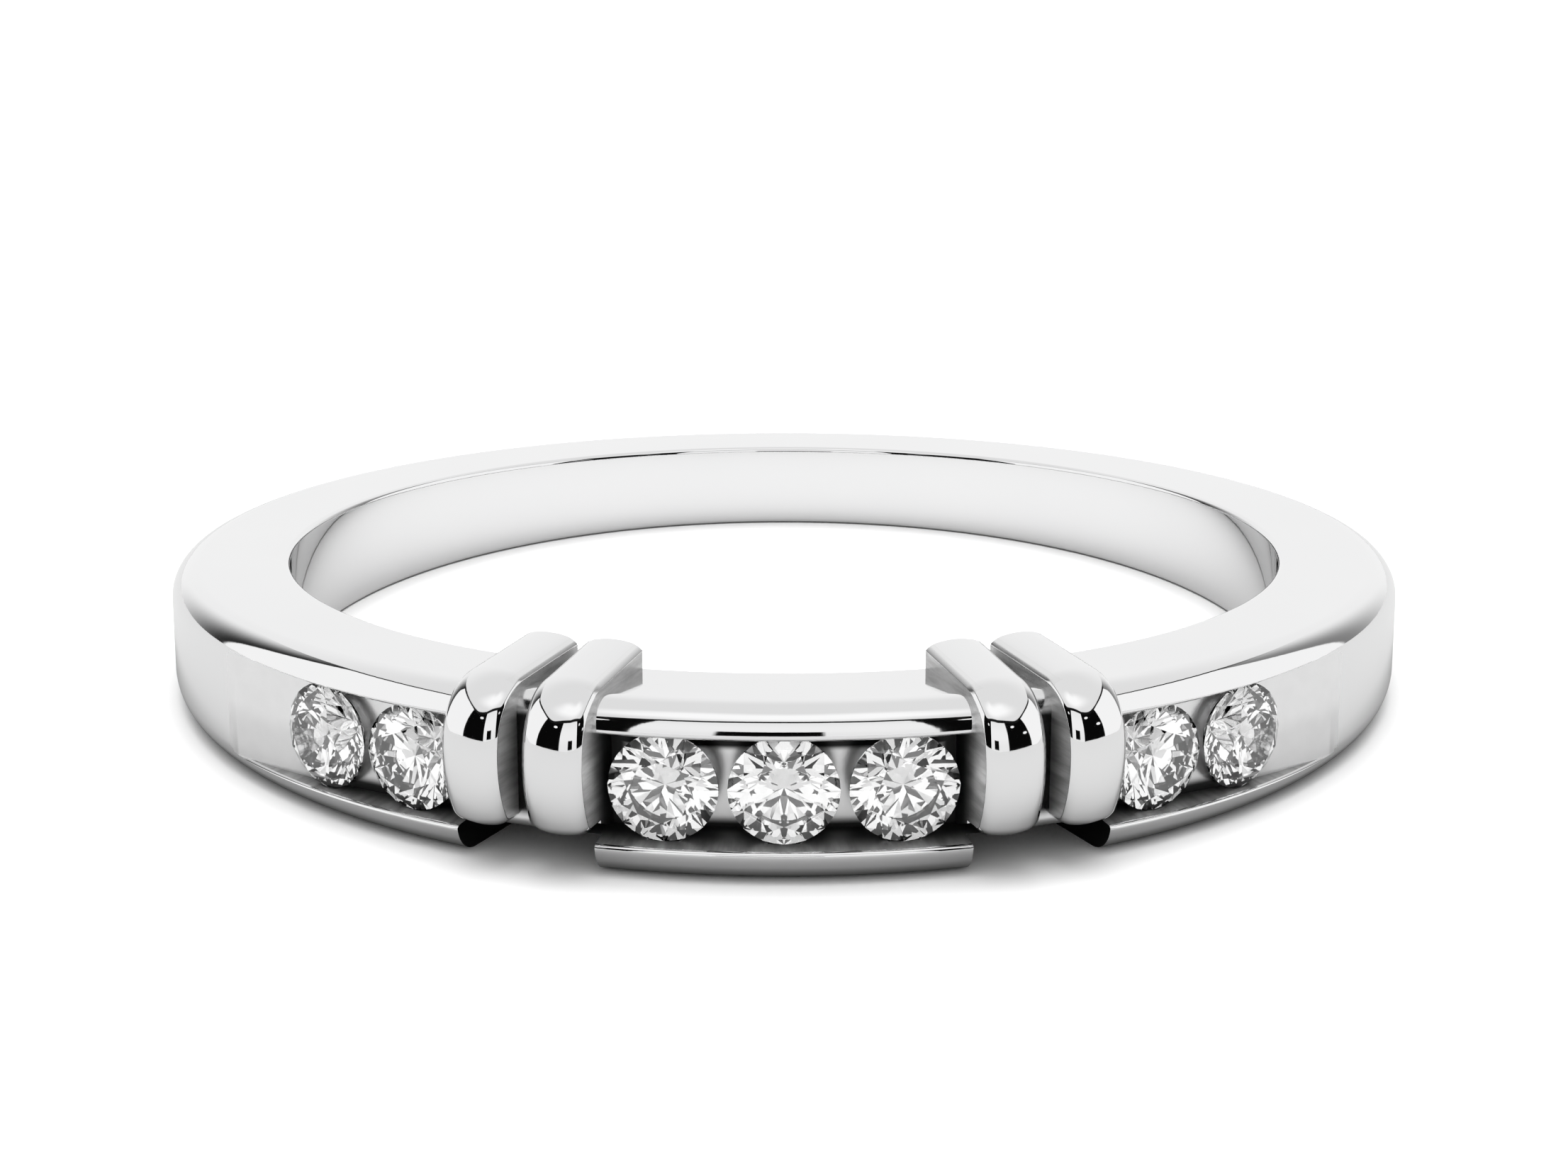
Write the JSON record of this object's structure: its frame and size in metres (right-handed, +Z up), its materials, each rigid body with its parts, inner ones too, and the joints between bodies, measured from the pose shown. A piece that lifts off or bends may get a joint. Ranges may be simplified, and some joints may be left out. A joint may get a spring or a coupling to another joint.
{
  "type": "bar set band ring",
  "caption": "Slim white metal ring with channel-set round brilliants in its front, divided by pairs of raised crowned bars.",
  "frame": {"origin": "middle of the finger hole, halfway through the band", "axes": "the ring lies on its side: +Z up, 1.7 degrees from the finger hole's axis; the stones face the front, -Y; +X to the viewer's right"},
  "size_m": [0.0214, 0.0214, 0.003],
  "materials": {
    "metal": "polished white gold, brushed inside the channels",
    "stone": "clear cut stone, polished facets"
  },
  "bodies": {
    "root": {"band": "metal", "stone_1": "stone", "stone_2": "stone", "stone_3": "stone", "stone_4": "stone", "stone_5": "stone", "stone_6": "stone", "stone_7": "stone"}
  },
  "joints": []
}
